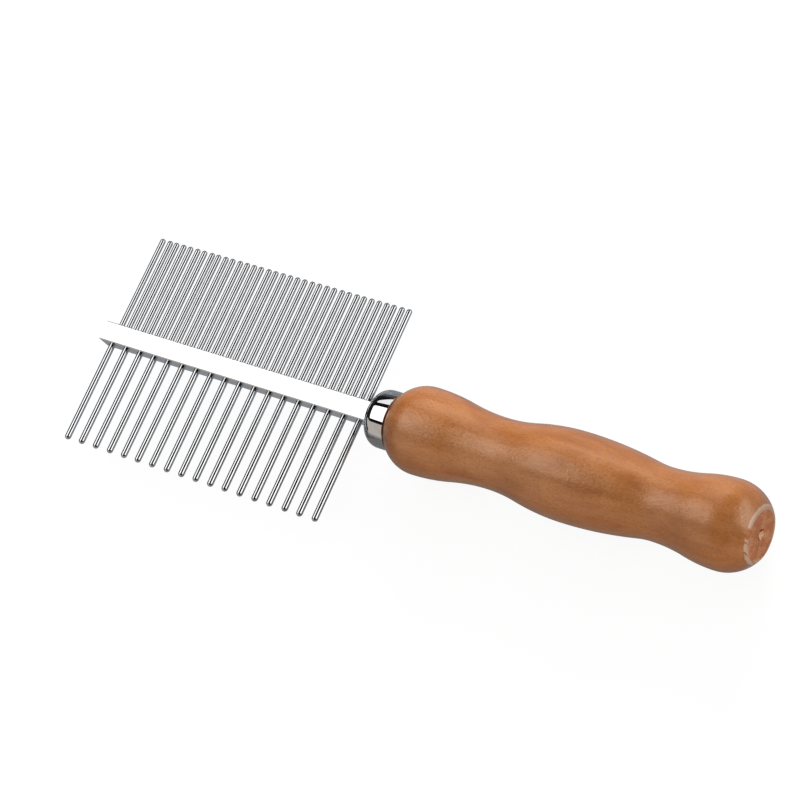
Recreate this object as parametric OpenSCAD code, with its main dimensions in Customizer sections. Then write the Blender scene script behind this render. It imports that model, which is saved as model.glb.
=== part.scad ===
// Double-sided metal comb on a turned wooden handle.
// The origin is the centre of the handle's flat butt. X runs along the handle and the
// comb lies towards -X. The wide row points to -Y, the fine row to +Y, and Z is up
// through the flat of the bar.

/* [Teeth] */
// Number of teeth in the wide row
wide_count = 18; // [8:1:19]
// Spacing of the wide row, centre to centre
wide_pitch = 5; // [4.6:0.1:8]
// Diameter of a wide tooth
wide_dia = 1.8; // [1.2:0.1:3]
// Length of a wide tooth outside the bar
wide_len = 29.7; // [12:0.1:50]
// Fine teeth for each space of the wide row
fine_per_space = 2; // [1:1:2]
// Diameter of a fine tooth
fine_dia = 1.6; // [1:0.05:2.1]
// Length of a fine tooth outside the bar
fine_len = 28.3; // [12:0.1:50]
// Depth that each tooth is set into the bar
tooth_seat = 2.2; // [1.2:0.1:2.4]
// Clearance round a tooth in its hole
tooth_fit = 0.02; // [0.01:0.01:0.05]

/* [Bar] */
// Width of the bar, across both rows
bar_w = 5.6; // [5.3:0.1:7]
// Thickness of the bar
bar_t = 5.6; // [4.8:0.1:7]
// Length of bar past the outermost teeth
bar_end = 3.2; // [2:0.1:8]
// Bow of the bar's free end
bar_bow = 0.8; // [0.3:0.1:2]
// Break of the bar's long edges
bar_break = 0.25; // [0.1:0.05:0.8]
// Clear bar between the last teeth and the ferrule
bar_neck = 3.9; // [2:0.1:12]
// Step all round where the bar narrows to enter the ferrule
bar_shoulder = 0.3; // [0.1:0.05:0.4]

/* [Tang] */
// Diameter of the tang in the handle
tang_dia = 4.2; // [2.5:0.1:4.6]
// Length of the tang in the handle
tang_len = 38; // [15:1:60]
// Clearance round the tang in its bore
tang_fit = 0.05; // [0.02:0.01:0.15]
// Spare depth of the bore past the tang
bore_spare = 0.5; // [0.2:0.1:3]

/* [Ferrule] */
// Outside diameter of the ferrule
ferrule_dia = 16; // [14:0.1:17]
// Length of the ferrule
ferrule_len = 7.5; // [6:0.1:12]
// Wall of the ferrule
ferrule_wall = 0.6; // [0.4:0.05:0.9]
// Outside rounding of the ferrule's front edge
ferrule_round = 3.7; // [1.2:0.1:3.9]
// Clearance of the bar in the ferrule's front opening
ferrule_bar_fit = 0.05; // [0.02:0.01:0.2]
// Clearance of the handle's spigot in the ferrule
ferrule_spigot_fit = 0.05; // [0.02:0.01:0.15]

/* [Handle] */
// Length of the handle from the ferrule's back edge to the butt
handle_len = 109.4; // [100:0.1:150]
// Length of the spigot inside the ferrule
spigot_len = 3.4; // [2:0.1:3.6]
// Diameter of the first swell
swell_1_dia = 24; // [22.5:0.1:28]
// Distance from the ferrule's back edge to the first swell
swell_1_at = 8.5; // [8.1:0.1:12]
// Diameter of the first waist
waist_1_dia = 19.3; // [14:0.1:22]
// Distance from the ferrule's back edge to the first waist
waist_1_at = 31.6; // [24:0.1:40]
// Diameter of the middle swell
swell_2_dia = 24.3; // [22.5:0.1:28]
// Distance from the ferrule's back edge to the middle swell
swell_2_at = 55; // [46:0.1:66]
// Diameter of the second waist
waist_2_dia = 19.5; // [14:0.1:22]
// Distance from the second waist to the butt
waist_2_back = 28.2; // [20:0.1:32]
// Diameter of the end swell
swell_3_dia = 23.9; // [22.5:0.1:28]
// Distance from the end swell to the butt
swell_3_back = 9.3; // [8.1:0.1:12]
// Diameter of the flat butt
butt_dia = 14.4; // [12:0.1:16]
// Diameter of the turning centre's mark in the butt
mark_dia = 3.2; // [1:0.1:5]
// Depth of the turning centre's mark
mark_deep = 0.8; // [0.3:0.1:1.5]

/* [Hidden] */

fine_count = fine_per_space * (wide_count - 1) + 1;
fine_pitch = wide_pitch / fine_per_space;
row_len = (wide_count - 1) * wide_pitch;

// Places along X
front_x = -handle_len;
ferrule_front_x = front_x - ferrule_len;
row_x = ferrule_front_x - bar_neck - row_len;
bar_tip_x = row_x - bar_end - bar_bow;
spigot_x = front_x - spigot_len;

// Section of the bar inside the ferrule
seat_w = bar_w - 2 * bar_shoulder;
seat_t = bar_t - 2 * bar_shoulder;

// Thickness of the handle's spigot, where the first shoulder begins
spigot_dia = ferrule_dia - 2 * ferrule_wall - 2 * ferrule_spigot_fit;

// How much of each run from swell to waist belongs to the swell's own arc
share_1 = 0.5;
share_2 = 0.6;
share_3 = 0.82;
share_4 = 0.46;

// Largest step along an arc of the handle's outline, in millimetres
arc_step = 0.8;
// Smallest overlap that keeps a cut from leaving a skin
cut = 1;
round_fn = 96;
tooth_fn = 48;

function pad(n) = str(n < 10 ? "0" : "", n);
function wide_name(i) = str("wide_tooth_", pad(i));
function fine_name(i) = str("fine_tooth_", pad(i));

// Radius of an arc that is level at one end and drops by h over a run l
function arc_r(l, h) = (l * l + h * h) / (2 * h);

// Points of an arc that is level at x0, radius r0, and has dropped by h at x1
function level_arc(x0, r0, x1, h) =
    let (run = abs(x1 - x0), big = arc_r(run, abs(h)), n = ceil(run / arc_step))
    [for (i = [0 : n])
        let (d = run * i / n)
        [x0 + (x1 - x0) * i / n, r0 - sign(h) * (big - sqrt(big * big - d * d))]];

function reversed(list) = [for (i = [len(list) - 1 : -1 : 0]) list[i]];
function after_first(list) = [for (i = [1 : len(list) - 1]) list[i]];

// A swell and a waist joined by two arcs that meet at the same slope
function ogee(x0, r0, x1, r1, share) =
    let (xm = x0 + (x1 - x0) * share, h = r0 - r1)
    concat(
        level_arc(x0, r0, xm, h * share),
        after_first(reversed(level_arc(x1, r1, xm, -h * (1 - share))))
    );

// Outline of the turned handle, from the spigot to the butt
function handle_outline() =
    let (
        s1 = swell_1_dia / 2,
        w1 = waist_1_dia / 2,
        s2 = swell_2_dia / 2,
        w2 = waist_2_dia / 2,
        s3 = swell_3_dia / 2,
        x1 = front_x + swell_1_at,
        x2 = front_x + waist_1_at,
        x3 = front_x + swell_2_at,
        x4 = -waist_2_back,
        x5 = -swell_3_back
    )
    concat(
        reversed(level_arc(x1, s1, front_x, s1 - spigot_dia / 2)),
        after_first(ogee(x1, s1, x2, w1, share_1)),
        after_first(ogee(x2, w1, x3, s2, 1 - share_2)),
        after_first(ogee(x3, s2, x4, w2, share_3)),
        after_first(ogee(x4, w2, x5, s3, 1 - share_4)),
        after_first(level_arc(x5, s3, 0, s3 - butt_dia / 2))
    );

// Turns what is drawn with its axis along +Z so that the axis runs along +X
module along_x() {
    rotate([0, 90, 0]) children();
}

// A solid turned about the X axis from [x, radius] points
module turned(points) {
    along_x()
        rotate_extrude($fn = round_fn)
            polygon(concat([for (p = points) [p[1], p[0]]], [[0, points[len(points) - 1][0]], [0, points[0][0]]]));
}

module handle() {
    bore_x = spigot_x + tang_len + bore_spare;
    color("peru")
    difference() {
        union() {
            turned(handle_outline());
            translate([spigot_x, 0, 0])
                along_x() cylinder(d = spigot_dia, h = spigot_len + cut, $fn = round_fn);
        }
        translate([spigot_x - cut, 0, 0])
            along_x() cylinder(d = tang_dia + 2 * tang_fit, h = bore_x - spigot_x + cut, $fn = round_fn);
        translate([-mark_deep, 0, 0])
            along_x() cylinder(d1 = 0, d2 = mark_dia, h = mark_deep, $fn = round_fn);
    }
}

// Half of a cup's outline, closed at its front, with a round of radius r
module cup_outline(radius, length, r) {
    union() {
        square([radius - r, length]);
        translate([0, r]) square([radius, length - r]);
        translate([radius - r, r]) circle(r, $fn = round_fn);
    }
}

module ferrule() {
    inner_dia = ferrule_dia - 2 * ferrule_wall;
    opening_w = seat_w + 2 * ferrule_bar_fit;
    opening_t = seat_t + 2 * ferrule_bar_fit;
    color("gainsboro")
    difference() {
        translate([ferrule_front_x, 0, 0])
            along_x()
                rotate_extrude($fn = round_fn)
                    intersection() {
                        square([ferrule_dia, ferrule_len]);
                        difference() {
                            cup_outline(ferrule_dia / 2, ferrule_len, ferrule_round);
                            translate([0, ferrule_wall])
                                cup_outline(inner_dia / 2, ferrule_len, ferrule_round - ferrule_wall);
                        }
                    }
        translate([ferrule_front_x - cut, -opening_w / 2, -opening_t / 2])
            cube([ferrule_wall + 2 * cut, opening_w, opening_t]);
    }
}

// The bar's section, with its four long edges broken
module bar_section() {
    w = bar_w / 2;
    t = bar_t / 2;
    b = bar_break;
    polygon([
        [-w + b, -t], [w - b, -t], [w, -t + b], [w, t - b],
        [w - b, t], [-w + b, t], [-w, t - b], [-w, -t + b]
    ]);
}

// The bar seen from above, with its bowed free end
module bar_plan(length) {
    bow_r = (bar_w * bar_w / 4 + bar_bow * bar_bow) / (2 * bar_bow);
    intersection() {
        translate([0, -bar_w / 2]) square([length, bar_w]);
        union() {
            translate([bow_r, 0]) circle(bow_r, $fn = round_fn);
            translate([bar_bow, -bar_w / 2]) square([length - bar_bow, bar_w]);
        }
    }
}

function wide_x(i) = row_x + (i - 1) * wide_pitch;
function fine_x(i) = row_x + (i - 1) * fine_pitch;

// The blind holes for one row, on the side of the bar that side names
module tooth_holes(xs, dia, side) {
    for (x = xs)
        translate([x, side * (bar_w / 2 - tooth_seat), 0])
            rotate([-90 * side, 0, 0])
                cylinder(d = dia + 2 * tooth_fit, h = tooth_seat + cut, $fn = tooth_fn);
}

module bar() {
    bar_len = ferrule_front_x - bar_tip_x;
    seat_len = spigot_x - ferrule_front_x;
    color("silver")
    difference() {
        union() {
            intersection() {
                translate([bar_tip_x, 0, 0])
                    rotate([90, 0, 90]) linear_extrude(bar_len) bar_section();
                translate([bar_tip_x, 0, -bar_t])
                    linear_extrude(2 * bar_t) bar_plan(bar_len);
            }
            translate([ferrule_front_x - cut, -seat_w / 2, -seat_t / 2])
                cube([seat_len + cut, seat_w, seat_t]);
            translate([spigot_x - cut, 0, 0])
                along_x() cylinder(d = tang_dia, h = tang_len + cut, $fn = round_fn);
        }
        tooth_holes([for (i = [1 : wide_count]) wide_x(i)], wide_dia, -1);
        tooth_holes([for (i = [1 : fine_count]) fine_x(i)], fine_dia, 1);
    }
}

// A round pin with a domed tip, from the bottom of its hole outwards
module tooth(dia, length) {
    straight = tooth_seat + length - dia / 2;
    rotate_extrude($fn = tooth_fn)
        union() {
            square([dia / 2, straight]);
            translate([0, straight])
                intersection() {
                    circle(d = dia, $fn = tooth_fn);
                    square(dia);
                }
        }
}

module wide_tooth(i) {
    color("lightsteelblue")
    translate([wide_x(i), -bar_w / 2 + tooth_seat, 0])
        rotate([90, 0, 0]) tooth(wide_dia, wide_len);
}

module fine_tooth(i) {
    color("lightgray")
    translate([fine_x(i), bar_w / 2 - tooth_seat, 0])
        rotate([-90, 0, 0]) tooth(fine_dia, fine_len);
}

handle();
ferrule();
bar();
for (i = [1 : wide_count])
    wide_tooth(i);
for (i = [1 : fine_count])
    fine_tooth(i);
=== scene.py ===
"""Studio picture of a double-sided comb: two rows of round steel teeth on a bright square bar,
a plated ferrule and a turned, lacquered wooden handle. Metres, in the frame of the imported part."""

import math

import bmesh
import bpy
from mathutils import Matrix, Vector, noise


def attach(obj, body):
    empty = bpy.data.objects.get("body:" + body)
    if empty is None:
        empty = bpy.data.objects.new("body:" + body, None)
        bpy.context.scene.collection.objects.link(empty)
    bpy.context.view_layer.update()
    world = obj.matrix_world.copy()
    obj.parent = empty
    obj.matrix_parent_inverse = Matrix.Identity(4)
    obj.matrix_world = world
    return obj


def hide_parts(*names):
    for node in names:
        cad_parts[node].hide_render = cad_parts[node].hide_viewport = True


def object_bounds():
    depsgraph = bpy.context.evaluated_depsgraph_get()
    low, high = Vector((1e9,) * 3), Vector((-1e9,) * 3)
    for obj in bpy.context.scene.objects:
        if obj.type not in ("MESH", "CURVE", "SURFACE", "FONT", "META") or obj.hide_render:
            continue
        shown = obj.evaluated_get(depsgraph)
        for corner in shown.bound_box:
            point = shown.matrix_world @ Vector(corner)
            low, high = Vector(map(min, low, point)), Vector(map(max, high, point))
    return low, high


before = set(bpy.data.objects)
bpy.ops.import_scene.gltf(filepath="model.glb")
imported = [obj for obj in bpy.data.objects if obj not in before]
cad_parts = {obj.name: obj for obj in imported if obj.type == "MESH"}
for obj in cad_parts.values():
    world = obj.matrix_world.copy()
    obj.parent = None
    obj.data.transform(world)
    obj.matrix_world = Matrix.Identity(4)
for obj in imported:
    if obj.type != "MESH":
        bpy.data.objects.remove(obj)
cad_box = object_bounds()

MM = 0.001

# Where the photographer stood: the lens and the camera's own axes, in the comb's frame
LENS_MM = 144
SENSOR_MM = 36
CAMERA_AT = (0.32658, -0.18108, 0.70369)
CAMERA_RIGHT = (0.8196, 0.4080, -0.4023)
CAMERA_UP = (-0.2491, 0.8860, 0.3910)

# Surface colours, linear
CHROME = (0.70, 0.70, 0.71, 1)
STEEL = (0.67, 0.68, 0.695, 1)
WOOD_PALE = (0.47, 0.172, 0.050, 1)
WOOD_MID = (0.39, 0.128, 0.031, 1)
WOOD_DEEP = (0.29, 0.080, 0.013, 1)
WOOD_PORE = (0.14, 0.030, 0.010, 1)
END_GRAIN = (0.66, 0.290, 0.140, 1)
END_GRAIN_DARK = (0.54, 0.190, 0.090, 1)
LACQUER_FILM = (0.62, 0.42, 0.31, 1)
TORN_FIBRE = (0.80, 0.50, 0.26, 1)
FIBRE_SHEEN = (1.0, 0.74, 0.36, 1)

# Node helpers


def new_tree(material):
    """An empty node tree for a material or world, and its output node."""
    material.use_nodes = True
    tree = material.node_tree
    tree.nodes.clear()
    is_world = isinstance(material, bpy.types.World)
    kind = "ShaderNodeOutputWorld" if is_world else "ShaderNodeOutputMaterial"
    return tree, tree.nodes.new(kind)


def new_surface(name):
    """A new material with one plain shader: the material, its node tree and the shader."""
    material = bpy.data.materials.new(name)
    tree, out = new_tree(material)
    shader = tree.nodes.new("ShaderNodeBsdfPrincipled")
    tree.links.new(shader.outputs[0], out.inputs["Surface"])
    return material, tree, shader


def feed(tree, socket, value):
    """Links a socket to another, or sets its plain value."""
    if isinstance(value, bpy.types.NodeSocket):
        tree.links.new(value, socket)
    else:
        socket.default_value = value


def math_node(tree, operation, *values):
    """A sum for a material or for a Geometry Nodes tree."""
    node = tree.nodes.new("ShaderNodeMath")
    node.operation = operation
    for socket, value in zip(node.inputs, values):
        feed(tree, socket, value)
    return node.outputs[0]


def product(tree, *factors):
    result = factors[0]
    for factor in factors[1:]:
        result = math_node(tree, "MULTIPLY", result, factor)
    return result


def step_up(tree, value, low, high, to_low=0.0, to_high=1.0):
    """Smooth step of a value, from to_low below low to to_high above high."""
    node = tree.nodes.new("ShaderNodeMapRange")
    node.interpolation_type = "SMOOTHSTEP"
    feed(tree, node.inputs["Value"], value)
    node.inputs["From Min"].default_value = low
    node.inputs["From Max"].default_value = high
    node.inputs["To Min"].default_value = to_low
    node.inputs["To Max"].default_value = to_high
    return node.outputs["Result"]


def mix_colour(tree, factor, first, second):
    node = tree.nodes.new("ShaderNodeMix")
    node.data_type = "RGBA"
    feed(tree, node.inputs[0], factor)
    feed(tree, node.inputs[6], first)
    feed(tree, node.inputs[7], second)
    return node.outputs[2]


def object_point(tree, scale=(1, 1, 1), shift=(0, 0, 0)):
    """Object coordinates, stretched and shifted."""
    where = tree.nodes.new("ShaderNodeTexCoord")
    mapping = tree.nodes.new("ShaderNodeMapping")
    tree.links.new(where.outputs["Object"], mapping.inputs["Vector"])
    mapping.inputs["Scale"].default_value = scale
    mapping.inputs["Location"].default_value = shift
    return mapping.outputs["Vector"]


def noise_at(tree, point, scale, detail=3.0, roughness=0.5, distortion=0.0):
    node = tree.nodes.new("ShaderNodeTexNoise")
    feed(tree, node.inputs["Vector"], point)
    node.inputs["Scale"].default_value = scale
    node.inputs["Detail"].default_value = detail
    node.inputs["Roughness"].default_value = roughness
    node.inputs["Distortion"].default_value = distortion
    return node.outputs["Fac"]


def grain(tree, length_mm, width_mm, detail=3.0, roughness=0.5, distortion=0.0, shift=(0, 0, 0)):
    """Noise stretched along the handle, with figures of about this length and width."""
    along = 1 / (length_mm * MM)
    across = 1 / (width_mm * MM)
    point = object_point(tree, (along, across, across), shift)
    return noise_at(tree, point, 1.0, detail, roughness, distortion)


def bump(tree, height, distance, normal=None):
    node = tree.nodes.new("ShaderNodeBump")
    node.inputs["Distance"].default_value = distance
    feed(tree, node.inputs["Height"], height)
    if normal is not None:
        feed(tree, node.inputs["Normal"], normal)
    return node.outputs["Normal"]


# Camera, room and floor


def set_camera():
    data = bpy.data.cameras.new("camera")
    data.lens = LENS_MM
    data.sensor_width = SENSOR_MM
    camera = bpy.data.objects.new("camera", data)
    right = Vector(CAMERA_RIGHT).normalized()
    up = Vector(CAMERA_UP).normalized()
    back = right.cross(up).normalized()
    up = back.cross(right)
    turn = Matrix((right, up, back)).transposed().to_4x4()
    camera.matrix_world = Matrix.Translation(CAMERA_AT) @ turn
    bpy.context.scene.collection.objects.link(camera)
    bpy.context.scene.camera = camera


WORLD_LEVEL = 0.64


def looked_at(tree):
    """1 for the rays of the eye, in metal and through glass, and 0 for all others."""
    rays = tree.nodes.new("ShaderNodeLightPath")
    white = math_node(tree, "MAXIMUM", rays.outputs["Is Camera Ray"], rays.outputs["Is Glossy Ray"])
    return math_node(tree, "MAXIMUM", white, rays.outputs["Is Transmission Ray"])


def studio_world():
    """Plain soft light on what is matt, and plain white to the eye, in metal and through glass."""
    world = bpy.data.worlds.new("studio")
    bpy.context.scene.world = world
    tree, out = new_tree(world)
    level = step_up(tree, looked_at(tree), 0.0, 1.0, WORLD_LEVEL, 1.0)
    back = tree.nodes.new("ShaderNodeBackground")
    back.inputs["Color"].default_value = (1, 1, 1, 1)
    tree.links.new(level, back.inputs["Strength"])
    tree.links.new(back.outputs[0], out.inputs["Surface"])


def glowing(name, colour, level):
    material = bpy.data.materials.new(name)
    tree, out = new_tree(material)
    glow = tree.nodes.new("ShaderNodeEmission")
    glow.inputs["Color"].default_value = (*colour, 1)
    glow.inputs["Strength"].default_value = level
    tree.links.new(glow.outputs[0], out.inputs["Surface"])
    return material


def card(name, corner, far_corner, level, colour=(1, 1, 1)):
    """A flat card of the studio that only shows in what shines. Two opposite corners, in metres."""
    low = [min(pair) for pair in zip(corner, far_corner)]
    high = [max(pair) for pair in zip(corner, far_corner)]
    flat = [axis for axis in range(3) if low[axis] == high[axis]][0]
    first, second = [axis for axis in range(3) if axis != flat]
    corners = []
    for along, across in ((low, low), (high, low), (high, high), (low, high)):
        point = list(low)
        point[first] = along[first]
        point[second] = across[second]
        corners.append(point)
    mesh = bpy.data.meshes.new(name)
    mesh.from_pydata(corners, [], [(0, 1, 2, 3)])
    mesh.materials.append(glowing(name, colour, level))
    piece = bpy.data.objects.new(name, mesh)
    piece.visible_camera = False
    piece.visible_diffuse = False
    piece.visible_transmission = False
    piece.visible_volume_scatter = False
    piece.visible_shadow = False
    bpy.context.scene.collection.objects.link(piece)


# The studio as the shiny parts see it, in metres from the middle of the butt
CANOPY_Z = 0.45
WALL = 2.0
LAYER = 0.01
FLOOR_GAP = 0.0001
SOFTBOX_X = (-0.600, -0.235)
SOFTBOX_Y = (-0.246, 0.208)
SOFTBOX_LEVEL = 1.9
SOFTBOX_COLOUR = (1.0, 0.985, 0.96)
SIDE_BOX_X = (-0.560, -0.160)
SIDE_BOX_Y = (0.367, 1.097)
SIDE_BOX_LEVEL = 1.2
SIDE_BOX_COLOUR = (1.0, 0.99, 0.98)
FRAME_WIDTH = 0.14
HOOD_END_X = 0.37
WINDOW_START_Y = -0.03
WINDOW_LEVEL = 1.85
BLACK_LEVEL = 0.008
LEFT_LEVEL = 0.015
FAR_LEVEL = 0.10
NEAR_LEVEL = 1.0
NEAR_COLOUR = (0.60, 0.545, 0.49)
GROUND_LEVEL = 0.31
GROUND_COLOUR = (0.94, 1.0, 1.06)
# The ground_shade card is a painted shadow: a darker patch of ground beside the handle and ferrule,
# seen only in reflections, for the shade they cast on the floor
SHADE_LEVEL = 0.20
SHADE_COLOUR = (1.0, 0.985, 0.95)
SHADE_X = (-0.155, 0.020)
SHADE_Y = (-0.150, -0.010)


def level_card(name, across_x, across_y, z, level, colour=(1, 1, 1)):
    """A card that lies flat at one height, from its reach in X and in Y."""
    card(name, (across_x[0], across_y[0], z), (across_x[1], across_y[1], z), level, colour)


def hang_lamps():
    """Two glowing lamps, and the black canopy that frames them."""
    z = CANOPY_Z
    level_card("softbox", SOFTBOX_X, SOFTBOX_Y, z, SOFTBOX_LEVEL, SOFTBOX_COLOUR)
    level_card("side_box", SIDE_BOX_X, SIDE_BOX_Y, z, SIDE_BOX_LEVEL, SIDE_BOX_COLOUR)
    left = SOFTBOX_X[0] - FRAME_WIDTH
    near = SOFTBOX_Y[0] - FRAME_WIDTH
    far = SIDE_BOX_Y[1] + FRAME_WIDTH
    level_card("canopy", (left, HOOD_END_X), (near, far), z + LAYER, BLACK_LEVEL)
    level_card("hood_near", (SOFTBOX_X[1], HOOD_END_X), (-WALL, near), z, BLACK_LEVEL)
    high = z + 2 * LAYER
    level_card("ceiling_left", (-WALL, left), (near, WALL), high, LEFT_LEVEL)
    level_card("ceiling_near", (-WALL, SOFTBOX_X[1]), (-WALL, near), high, NEAR_LEVEL, NEAR_COLOUR)
    level_card("ceiling_far", (-WALL, HOOD_END_X), (far, WALL), high + LAYER, FAR_LEVEL)


def hang_walls():
    """The window to the right, the grey walls and the grey card under the comb."""
    z = CANOPY_Z
    top = z + 3 * LAYER
    floor_z = cad_box[0].z + FLOOR_GAP
    start = WINDOW_START_Y
    level_card("window_top", (HOOD_END_X, WALL), (start, WALL), z, WINDOW_LEVEL)
    card("window_side", (WALL, start, floor_z), (WALL, WALL, z), WINDOW_LEVEL)
    level_card("dark_top", (HOOD_END_X, WALL), (-WALL, start), z, BLACK_LEVEL)
    card("dark_side", (WALL, -WALL, floor_z), (WALL, start, z), BLACK_LEVEL)
    card("wall_left", (-WALL, -WALL, floor_z), (-WALL, WALL, top), LEFT_LEVEL)
    card("wall_near", (-WALL, -WALL, floor_z), (WALL, -WALL, top), NEAR_LEVEL, NEAR_COLOUR)
    card("wall_far", (-WALL, WALL, floor_z), (WALL, WALL, top), FAR_LEVEL)
    level_card("ground", (-WALL, WALL), (-WALL, WALL), floor_z, GROUND_LEVEL, GROUND_COLOUR)
    # Painted shadow: the darker card beside the handle and ferrule stands in, in reflections only, for
    # their shade on the floor
    shade_z = floor_z + FLOOR_GAP
    level_card("ground_shade", SHADE_X, SHADE_Y, shade_z, SHADE_LEVEL, SHADE_COLOUR)


# The lamps that light what is matt, in metres and watts
LAMP_DISTANCE = 0.9
LAMP_SIZE = 0.5
KEY_DIRECTION = (-0.25, 0.92, 0.27)
KEY_WATTS = 11.0
FILL_DIRECTION = (0.70, -0.70, 0.14)
FILL_WATTS = 3.6


def soft_lamp(name, direction, watts):
    """One large soft lamp for the light and shade of the handle."""
    data = bpy.data.lights.new(name, "AREA")
    data.shape = "SQUARE"
    data.size = LAMP_SIZE
    data.energy = watts
    lamp = bpy.data.objects.new(name, data)
    toward = Vector(direction).normalized()
    low, high = cad_box
    lamp.location = (low + high) / 2 + toward * LAMP_DISTANCE
    lamp.rotation_mode = "QUATERNION"
    lamp.rotation_quaternion = (-toward).to_track_quat("-Z", "Y")
    lamp.visible_glossy = False
    lamp.visible_camera = False
    bpy.context.scene.collection.objects.link(lamp)


FLOOR_SIZE = 6.0
FLOOR_GLOW = 0.90
FLOOR_COLOUR = (0.13, 0.13, 0.13, 1)


def floor_material():
    """White paper: plain white to the eye, in metal and through glass, with the comb's soft shadow."""
    material = bpy.data.materials.new("white_paper")
    tree, out = new_tree(material)
    white = looked_at(tree)
    glow = tree.nodes.new("ShaderNodeEmission")
    glow.inputs["Color"].default_value = (1, 1, 1, 1)
    feed(tree, glow.inputs["Strength"], product(tree, white, FLOOR_GLOW))
    paper = tree.nodes.new("ShaderNodeBsdfDiffuse")
    paper.inputs["Color"].default_value = FLOOR_COLOUR
    both = tree.nodes.new("ShaderNodeAddShader")
    tree.links.new(glow.outputs[0], both.inputs[0])
    tree.links.new(paper.outputs[0], both.inputs[1])
    tree.links.new(both.outputs[0], out.inputs["Surface"])
    return material


def lay_floor():
    mesh = bpy.data.meshes.new("floor")
    half = FLOOR_SIZE / 2
    z = cad_box[0].z
    corners = [(-half, -half, z), (half, -half, z), (half, half, z), (-half, half, z)]
    mesh.from_pydata(corners, [], [(0, 1, 2, 3)])
    floor = bpy.data.objects.new("floor", mesh)
    mesh.materials.append(floor_material())
    bpy.context.scene.collection.objects.link(floor)


# Metals

# The polish in figures to the metre, and how much darker and rougher its dull places are
POLISH_SCALE = 300
RIPPLE_SCALE = 160
DULL_SHARE = 0.94
DULL_ROUGHNESS = 1.5
BRIGHT_ROUGHNESS = 0.02
BAR_ROUGHNESS = 0.03
FERRULE_RIPPLE = 0.00001


def polished_metal(name, colour, roughness, ripple=0.0):
    """Bright metal with faint uneven polish."""
    material, tree, shader = new_surface(name)
    shader.inputs["Metallic"].default_value = 1.0
    cloud = noise_at(tree, object_point(tree), POLISH_SCALE, 3, 0.5)
    dull = tuple(DULL_SHARE * value for value in colour[:3]) + (1,)
    tone = mix_colour(tree, step_up(tree, cloud, 0.35, 0.65), dull, colour)
    feed(tree, shader.inputs["Base Color"], tone)
    rough = step_up(tree, cloud, 0.35, 0.75, roughness, roughness * DULL_ROUGHNESS)
    feed(tree, shader.inputs["Roughness"], rough)
    if ripple > 0:
        wave = noise_at(tree, object_point(tree), RIPPLE_SCALE, 1, 0.4)
        feed(tree, shader.inputs["Normal"], bump(tree, wave, ripple))
    return material


# Wood

# The wood's figures: length along the grain and width across it, in mm
BAND = (60, 3.4)
BLOTCH = (12, 6)
FIBRE = (4, 0.26)
FLECK = (0.8, 0.32)
PORE = (1.1, 0.18)

# How strongly each of them shows
DEEP_AMOUNT = 0.7
FIBRE_AMOUNT = 0.35
FLECK_AMOUNT = 0.55
PORE_AMOUNT = 0.75


def wood_colour(tree):
    """Close straight grain: soft bands and blotches, fine fibres and short dark pores."""
    band = grain(tree, *BAND, distortion=0.6)
    blotch = grain(tree, *BLOTCH, distortion=0.3, shift=(3, 1, 2))
    fibre = grain(tree, *FIBRE, roughness=0.6)
    fleck = grain(tree, *FLECK, detail=2, roughness=0.7, shift=(2, 9, 4))
    pore = grain(tree, *PORE, detail=1, shift=(7, 3, 5))
    tone = math_node(tree, "ADD", product(tree, band, 0.5), product(tree, blotch, 0.5))
    colour = mix_colour(tree, step_up(tree, tone, 0.44, 0.62), WOOD_MID, WOOD_PALE)
    deep = step_up(tree, tone, 0.48, 0.36, 0.0, DEEP_AMOUNT)
    colour = mix_colour(tree, deep, colour, WOOD_DEEP)
    pale = step_up(tree, fibre, 0.38, 0.66, 0.0, FIBRE_AMOUNT)
    colour = mix_colour(tree, pale, colour, WOOD_PALE)
    dark = step_up(tree, fleck, 0.46, 0.66, 0.0, FLECK_AMOUNT)
    colour = mix_colour(tree, dark, colour, WOOD_DEEP)
    return mix_colour(tree, step_up(tree, pore, 0.67, 0.74, 0.0, PORE_AMOUNT), colour, WOOD_PORE)


def axis_places(tree):
    """The place along the handle's axis, the distance from it, and the place across, in metres."""
    where = tree.nodes.new("ShaderNodeSeparateXYZ")
    tree.links.new(object_point(tree), where.inputs[0])
    x, y, z = where.outputs
    square = math_node(tree, "ADD", product(tree, y, y), product(tree, z, z))
    return x, math_node(tree, "SQRT", square), y, z


# The butt, in metres: the bare face, the turning centre's mark in it, and the painted shade in the
# mark's hollow on its upper side
FACE_START = -0.00012
EDGE_BLUR = 0.00006
MARK_REACH = 0.0020
MARK_RADIUS = 0.0016
MARK_SHADE_START = 1.45 * MARK_RADIUS
MARK_SHADE_END = 1.60 * MARK_RADIUS
MARK_SHADE_LOW_Z = -0.6 * MM
MARK_SHADE_AMOUNT = 0.8

# The pale ring of thick lacquer round the butt's corner, in metres, with its worn place and cracks
RING_START = -0.00030
RING_WHOLE = -0.00015
RING_AMOUNT = 0.8
FILM_END = 0.0067
FILM_BLUR = 0.0002
FRAY_REACH = 0.0006
CRUMB_REACH = 0.0010
WORN_AT = 0.0020
WORN_REACH = 0.0011
WORN_BLUR = 0.0002
CRACKS_BELOW = -0.0025
CRACK_PITCH = 2992.0
CRACK_PHASE = -1.874

# The chips in the lacquer near the butt, in metres
CHIPS_AT = (-0.0033, 0.0009, 0.0100)
CHIPS_REACH = 0.0018
CHIPS_AMOUNT = 0.7

# Grain of the fine noise on the butt, in figures to the metre
BLOTCH_SCALE = 420
FRAY_SCALE = 1100
CRUMB_SCALE = 1500
PIT_SCALE = 2300
STREAK_SCALE = 2400
SPECK_SCALE = 2600


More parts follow.
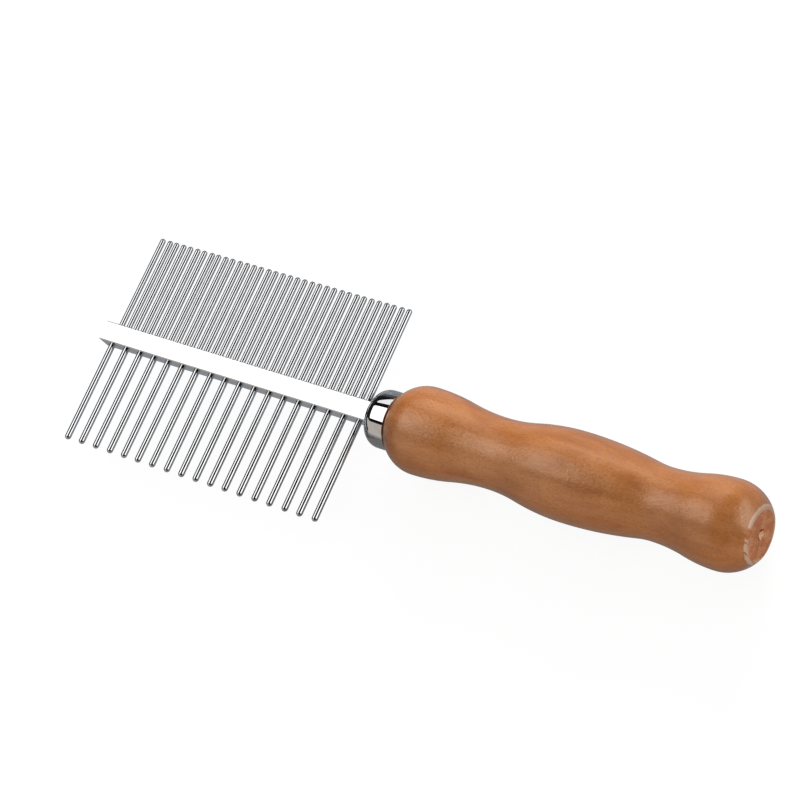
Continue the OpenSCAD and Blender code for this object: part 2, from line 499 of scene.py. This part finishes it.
def end_grain(tree):
    """Reddish matt end grain with redder blotches and fine pale and dark specks."""
    blotch = noise_at(tree, object_point(tree), BLOTCH_SCALE, 3, 0.6)
    speck = noise_at(tree, object_point(tree), SPECK_SCALE, 2, 0.6)
    pit = noise_at(tree, object_point(tree, shift=(4, 2, 7)), PIT_SCALE, 1, 0.5)
    colour = mix_colour(tree, step_up(tree, blotch, 0.40, 0.62), END_GRAIN_DARK, END_GRAIN)
    colour = mix_colour(tree, step_up(tree, speck, 0.58, 0.68, 0.0, 0.6), colour, LACQUER_FILM)
    return mix_colour(tree, step_up(tree, pit, 0.62, 0.72, 0.0, 0.8), colour, WOOD_PORE)


def lacquer_ring(tree, x, y):
    """How much of the pale ring is there: whole above, worn at the middle and cracked below."""
    crumbs = noise_at(tree, object_point(tree), CRUMB_SCALE, 2, 0.6)
    place = math_node(tree, "MULTIPLY_ADD", crumbs, CRUMB_REACH, y)
    turn = math_node(tree, "MULTIPLY_ADD", place, CRACK_PITCH, CRACK_PHASE)
    between = step_up(tree, math_node(tree, "SINE", turn), -0.9, -0.8)
    cracks = math_node(tree, "MAXIMUM", between, step_up(tree, place, CRACKS_BELOW, 0.0))
    worn = math_node(tree, "ABSOLUTE", math_node(tree, "ADD", place, WORN_AT))
    cover = product(tree, step_up(tree, worn, WORN_REACH, WORN_REACH + WORN_BLUR), cracks)
    ragged = math_node(tree, "MULTIPLY_ADD", crumbs, FRAY_REACH, x)
    begins = step_up(tree, ragged, RING_START, RING_WHOLE)
    return product(tree, begins, cover, RING_AMOUNT)


def chipped_spot(tree, place, reach):
    """A few pale specks in the lacquer round one place, in metres."""
    gap = tree.nodes.new("ShaderNodeVectorMath")
    gap.operation = "DISTANCE"
    feed(tree, gap.inputs[0], object_point(tree))
    gap.inputs[1].default_value = place
    crumbs = noise_at(tree, object_point(tree, shift=(0.3, 0.1, 0.7)), CRUMB_SCALE, 1, 0.5)
    near = step_up(tree, gap.outputs["Value"], 0.5 * reach, reach, 1.0, 0.0)
    return product(tree, near, step_up(tree, crumbs, 0.62, 0.68, 0.0, CHIPS_AMOUNT))


def bare_butt(tree, radius, z, ring):
    """The butt's face: end grain, painted shade on the upper side of the mark's hollow, and lacquer
    that runs onto its rim.
    """
    frayed = noise_at(tree, object_point(tree), FRAY_SCALE, 2, 0.6)
    reach = math_node(tree, "MULTIPLY_ADD", frayed, MARK_RADIUS, radius)
    # Painted shade: round the tuft, the mark's hollow is darkened towards the pore colour, on its
    # upper side only
    mark_shade = step_up(tree, reach, MARK_SHADE_START, MARK_SHADE_END, MARK_SHADE_AMOUNT, 0.0)
    mark_shade = product(tree, mark_shade, step_up(tree, z, MARK_SHADE_LOW_Z, 0.0))
    colour = mix_colour(tree, mark_shade, end_grain(tree), WOOD_PORE)
    inward = math_node(tree, "MULTIPLY_ADD", frayed, FRAY_REACH, radius)
    film = product(tree, ring, step_up(tree, inward, FILM_END, FILM_END + FILM_BLUR))
    return mix_colour(tree, film, colour, LACQUER_FILM)


# The lacquer: slow sway and fine orange peel, as figures to the metre and heights in metres
SWAY_SCALE = 230
SWAY_HEIGHT = 0.0002
PEEL_SCALE = 1500
PEEL_HEIGHT = 0.00015


def lacquer_surface(tree):
    sway = noise_at(tree, object_point(tree), SWAY_SCALE, 1, 0.4)
    peel = noise_at(tree, object_point(tree), PEEL_SCALE, 2, 0.6)
    return bump(tree, peel, PEEL_HEIGHT, bump(tree, sway, SWAY_HEIGHT))


def wood_material():
    """Orange-brown wood under clear gloss lacquer, bare at the butt."""
    material, tree, shader = new_surface("lacquered_wood")
    x, radius, y, z = axis_places(tree)
    ring = lacquer_ring(tree, x, y)
    colour = mix_colour(tree, ring, wood_colour(tree), LACQUER_FILM)
    colour = mix_colour(tree, chipped_spot(tree, CHIPS_AT, CHIPS_REACH), colour, LACQUER_FILM)
    flat = step_up(tree, x, FACE_START - EDGE_BLUR, FACE_START + EDGE_BLUR)
    mark = step_up(tree, radius, MARK_REACH, MARK_REACH + EDGE_BLUR, 1.0, 0.0)
    face = math_node(tree, "MAXIMUM", flat, mark)
    bare = bare_butt(tree, radius, z, ring)
    feed(tree, shader.inputs["Base Color"], mix_colour(tree, face, colour, bare))
    shader.inputs["Roughness"].default_value = 0.36
    shader.inputs["Specular Tint"].default_value = FIBRE_SHEEN
    lacquered = math_node(tree, "SUBTRACT", 1.0, face)
    feed(tree, shader.inputs["Specular IOR Level"], product(tree, lacquered, 0.6))
    feed(tree, shader.inputs["Coat Weight"], lacquered)
    shader.inputs["Coat Roughness"].default_value = 0.17
    shader.inputs["Coat IOR"].default_value = 1.58
    feed(tree, shader.inputs["Coat Normal"], lacquer_surface(tree))
    return material


def torn_wood_material():
    """Pale broken fibres."""
    material, tree, shader = new_surface("torn_wood")
    streak = noise_at(tree, object_point(tree), STREAK_SCALE, 2, 0.6)
    tone = mix_colour(tree, step_up(tree, streak, 0.3, 0.55), END_GRAIN, TORN_FIBRE)
    feed(tree, shader.inputs["Base Color"], tone)
    shader.inputs["Roughness"].default_value = 0.9
    return material


# Pieces


def add_piece(name, mesh, material, nodes):
    """A finished piece in the scene, in place of the CAD nodes that it stands for."""
    piece = bpy.data.objects.new(name, mesh)
    mesh.materials.clear()
    mesh.materials.append(material)
    bpy.context.scene.collection.objects.link(piece)
    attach(piece, "root")
    if nodes:
        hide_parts(*nodes)


# Meshes: points this near are one, in metres, and edges sharper than these angles stay sharp
MERGE = 2e-6
NEARLY_FLAT = 0.2
SHARP_METAL = 32
SHARP_HANDLE = 30
SHARP_TUFT = 25
SHARP_TOOTH = 40


def smooth_but_sharp(work, degrees):
    """Smooth shading for a bmesh, with its real edges kept."""
    limit = math.radians(degrees)
    for face in work.faces:
        face.smooth = True
    for edge in work.edges:
        edge.smooth = edge.calc_face_angle(0.0) < limit


def finished(work, name, degrees):
    """The mesh of a closed bmesh, with its faces outward and its real edges kept."""
    bmesh.ops.recalc_face_normals(work, faces=work.faces)
    smooth_but_sharp(work, degrees)
    mesh = bpy.data.meshes.new(name)
    work.to_mesh(mesh)
    work.free()
    return mesh


def merged_copy(node, rounded):
    """A CAD node's mesh with its loose triangles joined, smooth but for its real edges."""
    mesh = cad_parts[node].data.copy()
    work = bmesh.new()
    work.from_mesh(mesh)
    bmesh.ops.remove_doubles(work, verts=work.verts, dist=MERGE)
    flat = math.radians(NEARLY_FLAT)
    bmesh.ops.dissolve_limit(work, angle_limit=flat, verts=work.verts, edges=work.edges)
    rounded(work)
    smooth_but_sharp(work, SHARP_METAL)
    work.to_mesh(mesh)
    work.free()
    return mesh


def node_box(node):
    """The low and high corners of a CAD node."""
    points = [Vector(corner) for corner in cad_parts[node].bound_box]
    low = Vector([min(point[axis] for point in points) for axis in range(3)])
    high = Vector([max(point[axis] for point in points) for axis in range(3)])
    return low, high


HANDLE_SEGMENTS = 192
BORE_LIMIT = 5 * MM
RIM_ROUND = 0.35 * MM
RIM_STEPS = 4


def handle_rings():
    """The turned outline as (x, radius), read from the CAD solid's rings."""
    rings = {}
    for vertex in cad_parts["handle"].data.vertices:
        radius = math.hypot(vertex.co.y, vertex.co.z)
        if radius > BORE_LIMIT:
            place = round(vertex.co.x, 6)
            rings[place] = max(radius, rings.get(place, 0.0))
    return sorted(rings.items())


def bore_and_mark():
    """Bore radius and depth, and the centre mark's radius and depth, from the CAD solid."""
    inner = []
    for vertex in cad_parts["handle"].data.vertices:
        radius = math.hypot(vertex.co.y, vertex.co.z)
        if radius <= BORE_LIMIT:
            inner.append((vertex.co.x, radius))
    front = min(x for x, radius in inner)
    bore_radius = max(radius for x, radius in inner if x < front + MM)
    half_way = front / 2
    bore_end = max(x for x, radius in inner if x < half_way)
    mark_radius = max(radius for x, radius in inner if x > half_way)
    mark_end = min(x for x, radius in inner if x > half_way)
    return bore_radius, bore_end, mark_radius, mark_end


def rounded_corner(before, corner, after, reach):
    """Points of a small round in place of a corner of an outline."""
    corner = Vector(corner)
    start = corner + (Vector(before) - corner).normalized() * reach
    end = corner + (Vector(after) - corner).normalized() * reach
    points = []
    for step in range(RIM_STEPS + 1):
        t = step / RIM_STEPS
        points.append(tuple(start * (1 - t) ** 2 + corner * 2 * t * (1 - t) + end * t ** 2))
    return points


def handle_outline():
    """The whole outline as (x, radius): bore, turned side, rounded corner, butt and mark."""
    rings = handle_rings()
    bore_radius, bore_end, mark_radius, mark_end = bore_and_mark()
    front = rings[0][0]
    butt = rings[-1]
    outline = [(bore_end, 0.0), (bore_end, bore_radius), (front, bore_radius)]
    outline += rings[:-1]
    outline += rounded_corner(rings[-2], butt, (butt[0], 0.0), RIM_ROUND)
    outline += [(butt[0], mark_radius * 2), (butt[0], mark_radius), (mark_end, 0.0)]
    return outline


def joined_rings(work, first, second, sides):
    """Faces between two rings of points, either of which may be a single point."""
    for side in range(sides):
        after = (side + 1) % sides
        corners = []
        for ring, place in ((first, side), (first, after), (second, after), (second, side)):
            vertex = ring[place % len(ring)]
            if vertex not in corners:
                corners.append(vertex)
        work.faces.new(corners)


def lathe(name, outline, segments):
    """A closed surface turned about X from (x, radius) points that begin and end on the axis."""
    work = bmesh.new()
    rings = []
    for x, radius in outline:
        if radius == 0.0:
            rings.append([work.verts.new((x, 0, 0))])
            continue
        ring = []
        for step in range(segments):
            angle = 2 * math.pi * step / segments
            ring.append(work.verts.new((x, radius * math.sin(angle), radius * math.cos(angle))))
        rings.append(ring)
    for first, second in zip(rings, rings[1:]):
        joined_rings(work, first, second, segments)
    return finished(work, name, SHARP_HANDLE)


# The torn tuft in the centre mark
TUFT_CENTRE_Z = -0.60 * MM
TUFT_HALF_Y = 1.75 * MM
TUFT_HALF_Z = 1.05 * MM
TUFT_FOOT_X = -0.75 * MM
TUFT_TOP_X = -0.03 * MM
TUFT_RINGS = 7
TUFT_SIDES = 26
TUFT_ROUGH = 0.5
TUFT_RAGGED = 0.45
TUFT_FILL = 0.86
TUFT_STEEP = 6
TUFT_STRANDS = (1.6, 4.1)
TUFT_SEEDS = (3.1, 0.7)


def tuft_point(share, angle):
    """One point of the tuft, from its share of the way out and its angle round the middle."""
    around = Vector((2 * math.cos(angle), 2 * math.sin(angle), TUFT_SEEDS[0]))
    ragged = 1 + TUFT_RAGGED * noise.noise(around)
    y = TUFT_HALF_Y * share * ragged * math.cos(angle)
    z = TUFT_HALF_Z * share * ragged * math.sin(angle)
    along_y, along_z = TUFT_STRANDS
    rough = noise.noise(Vector((y / MM * along_y, z / MM * along_z, TUFT_SEEDS[1])))
    height = (1 - share ** TUFT_STEEP) * (TUFT_FILL + TUFT_ROUGH * rough)
    height = max(0.0, min(1.0, height))
    x = TUFT_FOOT_X + (TUFT_TOP_X - TUFT_FOOT_X) * height
    return x, y, z + TUFT_CENTRE_Z


def torn_fibres():
    """The torn tuft that the turning centre left in its mark: a low ragged mound of wood."""
    work = bmesh.new()
    rings = []
    for ring in range(TUFT_RINGS + 1):
        share = ring / TUFT_RINGS
        row = []
        for side in range(TUFT_SIDES if ring else 1):
            angle = 2 * math.pi * side / TUFT_SIDES
            row.append(work.verts.new(tuft_point(share, angle)))
        rings.append(row)
    for first, second in zip(rings, rings[1:]):
        joined_rings(work, first, second, TUFT_SIDES)
    work.faces.new(rings[-1])
    return finished(work, "torn_fibres", SHARP_TUFT)


RIM_BREAK = 0.12 * MM
RIM_BREAK_STEPS = 3
RIM_BAND = 0.1 * MM
ON_EDGE = 1e-6


def bevel_edges(work, edges, reach, steps):
    bmesh.ops.bevel(work, geom=edges, offset=reach, segments=steps, profile=0.5, affect="EDGES")


def break_back_rim(work):
    """Rounds the ferrule's outer back edge a little."""
    back = max(vertex.co.x for vertex in work.verts)
    reach = max(math.hypot(vertex.co.y, vertex.co.z) for vertex in work.verts)
    edges = []
    for edge in work.edges:
        on_rim = all(vertex.co.x > back - ON_EDGE for vertex in edge.verts)
        radii = [math.hypot(vertex.co.y, vertex.co.z) for vertex in edge.verts]
        outer = min(radii) > reach - RIM_BAND
        if on_rim and outer:
            edges.append(edge)
    bevel_edges(work, edges, RIM_BREAK, RIM_BREAK_STEPS)


TIP_BREAK = 0.12 * MM
TIP_DEPTH = 1.0 * MM


def break_tip(work):
    """Breaks the upper and lower edges of the bar's bowed free end."""
    tip = min(vertex.co.x for vertex in work.verts)
    half = max(vertex.co.z for vertex in work.verts)
    edges = []
    for edge in work.edges:
        first, second = (vertex.co for vertex in edge.verts)
        level = abs(first.z) > half - ON_EDGE and abs(second.z - first.z) < ON_EDGE
        at_tip = max(first.x, second.x) < tip + TIP_DEPTH
        if level and at_tip and abs(first.y - second.y) > abs(first.x - second.x):
            edges.append(edge)
    bevel_edges(work, edges, TIP_BREAK, 1)


# Rows of teeth, by Geometry Nodes

# One tooth. A guard ring just before the dome keeps the straight part's shading straight.
DOME_STEPS = 10
TOOTH_SIDES = 40
GUARD = 0.2 * MM
POINT_WIDTH = 1e-7

# A whole row: lean and fan in radians, the shift of neighbours towards each other, and the seeds
LEAN = 0.0035
FAN = 0.0045
PAIR_SHIFT = 0.05 * MM
WIDE_SEED = 3
FINE_SEED = 11


def vector_of(tree, x=0.0, y=0.0, z=0.0):
    """A vector of three sockets or plain numbers."""
    node = tree.nodes.new("ShaderNodeCombineXYZ")
    for socket, value in zip(node.inputs, (x, y, z)):
        feed(tree, socket, value)
    return node.outputs[0]


def tooth_shape(tree, radius, length):
    """A round pin along +Y with a flat root and a domed tip."""
    spine = tree.nodes.new("GeometryNodeMeshLine")
    spine.inputs["Count"].default_value = DOME_STEPS + 3
    spine.inputs["Offset"].default_value = (0, MM, 0)
    index = tree.nodes.new("GeometryNodeInputIndex").outputs[0]
    past = math_node(tree, "MAXIMUM", math_node(tree, "SUBTRACT", index, 2.0), 0.0)
    angle = math_node(tree, "MULTIPLY", past, math.pi / 2 / DOME_STEPS)
    dome_start = math_node(tree, "SUBTRACT", length, radius)
    dome = math_node(tree, "MULTIPLY_ADD", math_node(tree, "SINE", angle), radius, dome_start)
    is_guard = math_node(tree, "COMPARE", index, 1.0, 0.1)
    place = math_node(tree, "SUBTRACT", dome, math_node(tree, "MULTIPLY", is_guard, GUARD))
    not_root = math_node(tree, "GREATER_THAN", index, 0.5)
    place = math_node(tree, "MULTIPLY", place, not_root)
    move = tree.nodes.new("GeometryNodeSetPosition")
    tree.links.new(spine.outputs[0], move.inputs["Geometry"])
    tree.links.new(vector_of(tree, 0.0, place, 0.0), move.inputs["Position"])
    curve = tree.nodes.new("GeometryNodeMeshToCurve")
    tree.links.new(move.outputs[0], curve.inputs[0])
    width = math_node(tree, "MULTIPLY", math_node(tree, "COSINE", angle), radius)
    ring = tree.nodes.new("GeometryNodeCurvePrimitiveCircle")
    ring.inputs["Resolution"].default_value = TOOTH_SIDES
    ring.inputs["Radius"].default_value = 1.0
    skin = tree.nodes.new("GeometryNodeCurveToMesh")
    tree.links.new(curve.outputs[0], skin.inputs["Curve"])
    tree.links.new(ring.outputs[0], skin.inputs["Profile Curve"])
    skin.inputs["Fill Caps"].default_value = True
    tree.links.new(math_node(tree, "MAXIMUM", width, POINT_WIDTH), skin.inputs["Scale"])
    merge = tree.nodes.new("GeometryNodeMergeByDistance")
    tree.links.new(skin.outputs[0], merge.inputs["Geometry"])
    merge.inputs["Distance"].default_value = MERGE
    return merge.outputs[0]


def row_tree():
    """One row of teeth along X. The lean of each tooth and the pairing of neighbours are slight."""
    tree = bpy.data.node_groups.new("tooth_row", "GeometryNodeTree")
    tree.interface.new_socket(name="Geometry", in_out="OUTPUT", socket_type="NodeSocketGeometry")
    kinds = {"Count": "Int", "Pitch": "Float", "Radius": "Float", "Length": "Float",
             "First": "Vector", "Turn": "Float", "Pairing": "Float", "Seed": "Int",
             "Material": "Material"}
    sockets = {}
    for name, kind in kinds.items():
        kind = "NodeSocket" + kind
        socket = tree.interface.new_socket(name=name, in_out="INPUT", socket_type=kind)
        sockets[name] = socket.identifier
    given = tree.nodes.new("NodeGroupInput").outputs
    line = tree.nodes.new("GeometryNodeMeshLine")
    tree.links.new(given["Count"], line.inputs["Count"])
    tree.links.new(given["First"], line.inputs["Start Location"])
    tree.links.new(vector_of(tree, given["Pitch"]), line.inputs["Offset"])
    index = tree.nodes.new("GeometryNodeInputIndex").outputs[0]
    parity = math_node(tree, "MODULO", index, 2.0)
    side = math_node(tree, "SUBTRACT", parity, 0.5)
    shift = math_node(tree, "MULTIPLY", side, given["Pairing"])
    move = tree.nodes.new("GeometryNodeSetPosition")
    tree.links.new(line.outputs[0], move.inputs["Geometry"])
    tree.links.new(vector_of(tree, shift), move.inputs["Offset"])
    dice = tree.nodes.new("FunctionNodeRandomValue")
    dice.data_type = "FLOAT"
    dice.inputs[2].default_value = -LEAN
    dice.inputs[3].default_value = LEAN
    tree.links.new(given["Seed"], dice.inputs["Seed"])
    last = math_node(tree, "SUBTRACT", given["Count"], 1.0)
    along = math_node(tree, "SUBTRACT", math_node(tree, "DIVIDE", index, last), 0.5)
    fan = math_node(tree, "MULTIPLY", along, 2 * FAN)
    lean = math_node(tree, "ADD", math_node(tree, "ADD", dice.outputs[1], fan), given["Turn"])
    placed = tree.nodes.new("GeometryNodeInstanceOnPoints")
    tree.links.new(move.outputs[0], placed.inputs["Points"])
    tree.links.new(tooth_shape(tree, given["Radius"], given["Length"]), placed.inputs["Instance"])
    tree.links.new(vector_of(tree, 0.0, 0.0, lean), placed.inputs["Rotation"])
    real = tree.nodes.new("GeometryNodeRealizeInstances")
    tree.links.new(placed.outputs[0], real.inputs[0])
    shade = tree.nodes.new("GeometryNodeSetShadeSmooth")
    tree.links.new(real.outputs[0], shade.inputs[0])
    dress = tree.nodes.new("GeometryNodeSetMaterial")
    tree.links.new(shade.outputs[0], dress.inputs["Geometry"])
    tree.links.new(given["Material"], dress.inputs["Material"])
    out = tree.nodes.new("NodeGroupOutput")
    tree.links.new(dress.outputs[0], out.inputs[0])
    return tree, sockets


def tooth_row(tree, sockets, name, prefix, side, pairing, seed, material):
    """One mesh with every tooth of a row, set out from the CAD teeth's places and sizes."""
    nodes = sorted(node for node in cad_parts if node.startswith(prefix))
    low, high = node_box(nodes[0])
    next_low = node_box(nodes[1])[0]
    radius = (high.z - low.z) / 2
    root_y = low.y if side > 0 else high.y
    values = {"Count": len(nodes), "Pitch": next_low.x - low.x, "Radius": radius,
              "Length": high.y - low.y, "First": (low.x + radius, root_y, 0.0),
              "Turn": 0.0 if side > 0 else math.pi, "Pairing": pairing, "Seed": seed,
              "Material": material}
    host = bpy.data.objects.new(name + "_host", bpy.data.meshes.new(name + "_host"))
    bpy.context.scene.collection.objects.link(host)
    modifier = host.modifiers.new("row", "NODES")
    modifier.node_group = tree
    for key, value in values.items():
        modifier[sockets[key]] = value
    graph = bpy.context.evaluated_depsgraph_get()
    mesh = bpy.data.meshes.new_from_object(host.evaluated_get(graph))
    host.modifiers.remove(modifier)
    bpy.data.objects.remove(host)
    mesh.name = name
    return mesh, nodes


def flatten_roots(mesh):
    """Keeps the flat root discs from bending the shading of the teeth."""
    work = bmesh.new()
    work.from_mesh(mesh)
    smooth_but_sharp(work, SHARP_TOOTH)
    work.to_mesh(mesh)
    work.free()


def main():
    set_camera()
    studio_world()
    hang_lamps()
    hang_walls()
    soft_lamp("key", KEY_DIRECTION, KEY_WATTS)
    soft_lamp("fill", FILL_DIRECTION, FILL_WATTS)
    lay_floor()
    chrome = polished_metal("bright_plate", CHROME, BRIGHT_ROUGHNESS, FERRULE_RIPPLE)
    bar_metal = polished_metal("bright_bar", CHROME, BAR_ROUGHNESS)
    wide_steel = polished_metal("wide_steel", STEEL, BRIGHT_ROUGHNESS)
    fine_steel = polished_metal("fine_steel", STEEL, BRIGHT_ROUGHNESS)
    handle = lathe("handle_turned", handle_outline(), HANDLE_SEGMENTS)
    add_piece("handle_turned", handle, wood_material(), ["handle"])
    add_piece("torn_fibres", torn_fibres(), torn_wood_material(), [])
    ferrule = merged_copy("ferrule", break_back_rim)
    add_piece("ferrule_cup", ferrule, chrome, ["ferrule"])
    bar = merged_copy("bar", break_tip)
    add_piece("bar_flat", bar, bar_metal, ["bar"])
    tree, sockets = row_tree()
    mesh, nodes = tooth_row(tree, sockets, "wide_row", "wide_tooth", -1, 0.0, WIDE_SEED, wide_steel)
    flatten_roots(mesh)
    add_piece("wide_row", mesh, wide_steel, nodes)
    pairing = 2 * PAIR_SHIFT
    mesh, nodes = tooth_row(tree, sockets, "fine_row", "fine_tooth", 1, pairing, FINE_SEED, fine_steel)
    flatten_roots(mesh)
    add_piece("fine_row", mesh, fine_steel, nodes)
    bpy.context.scene.view_settings.view_transform = "Standard"


main()
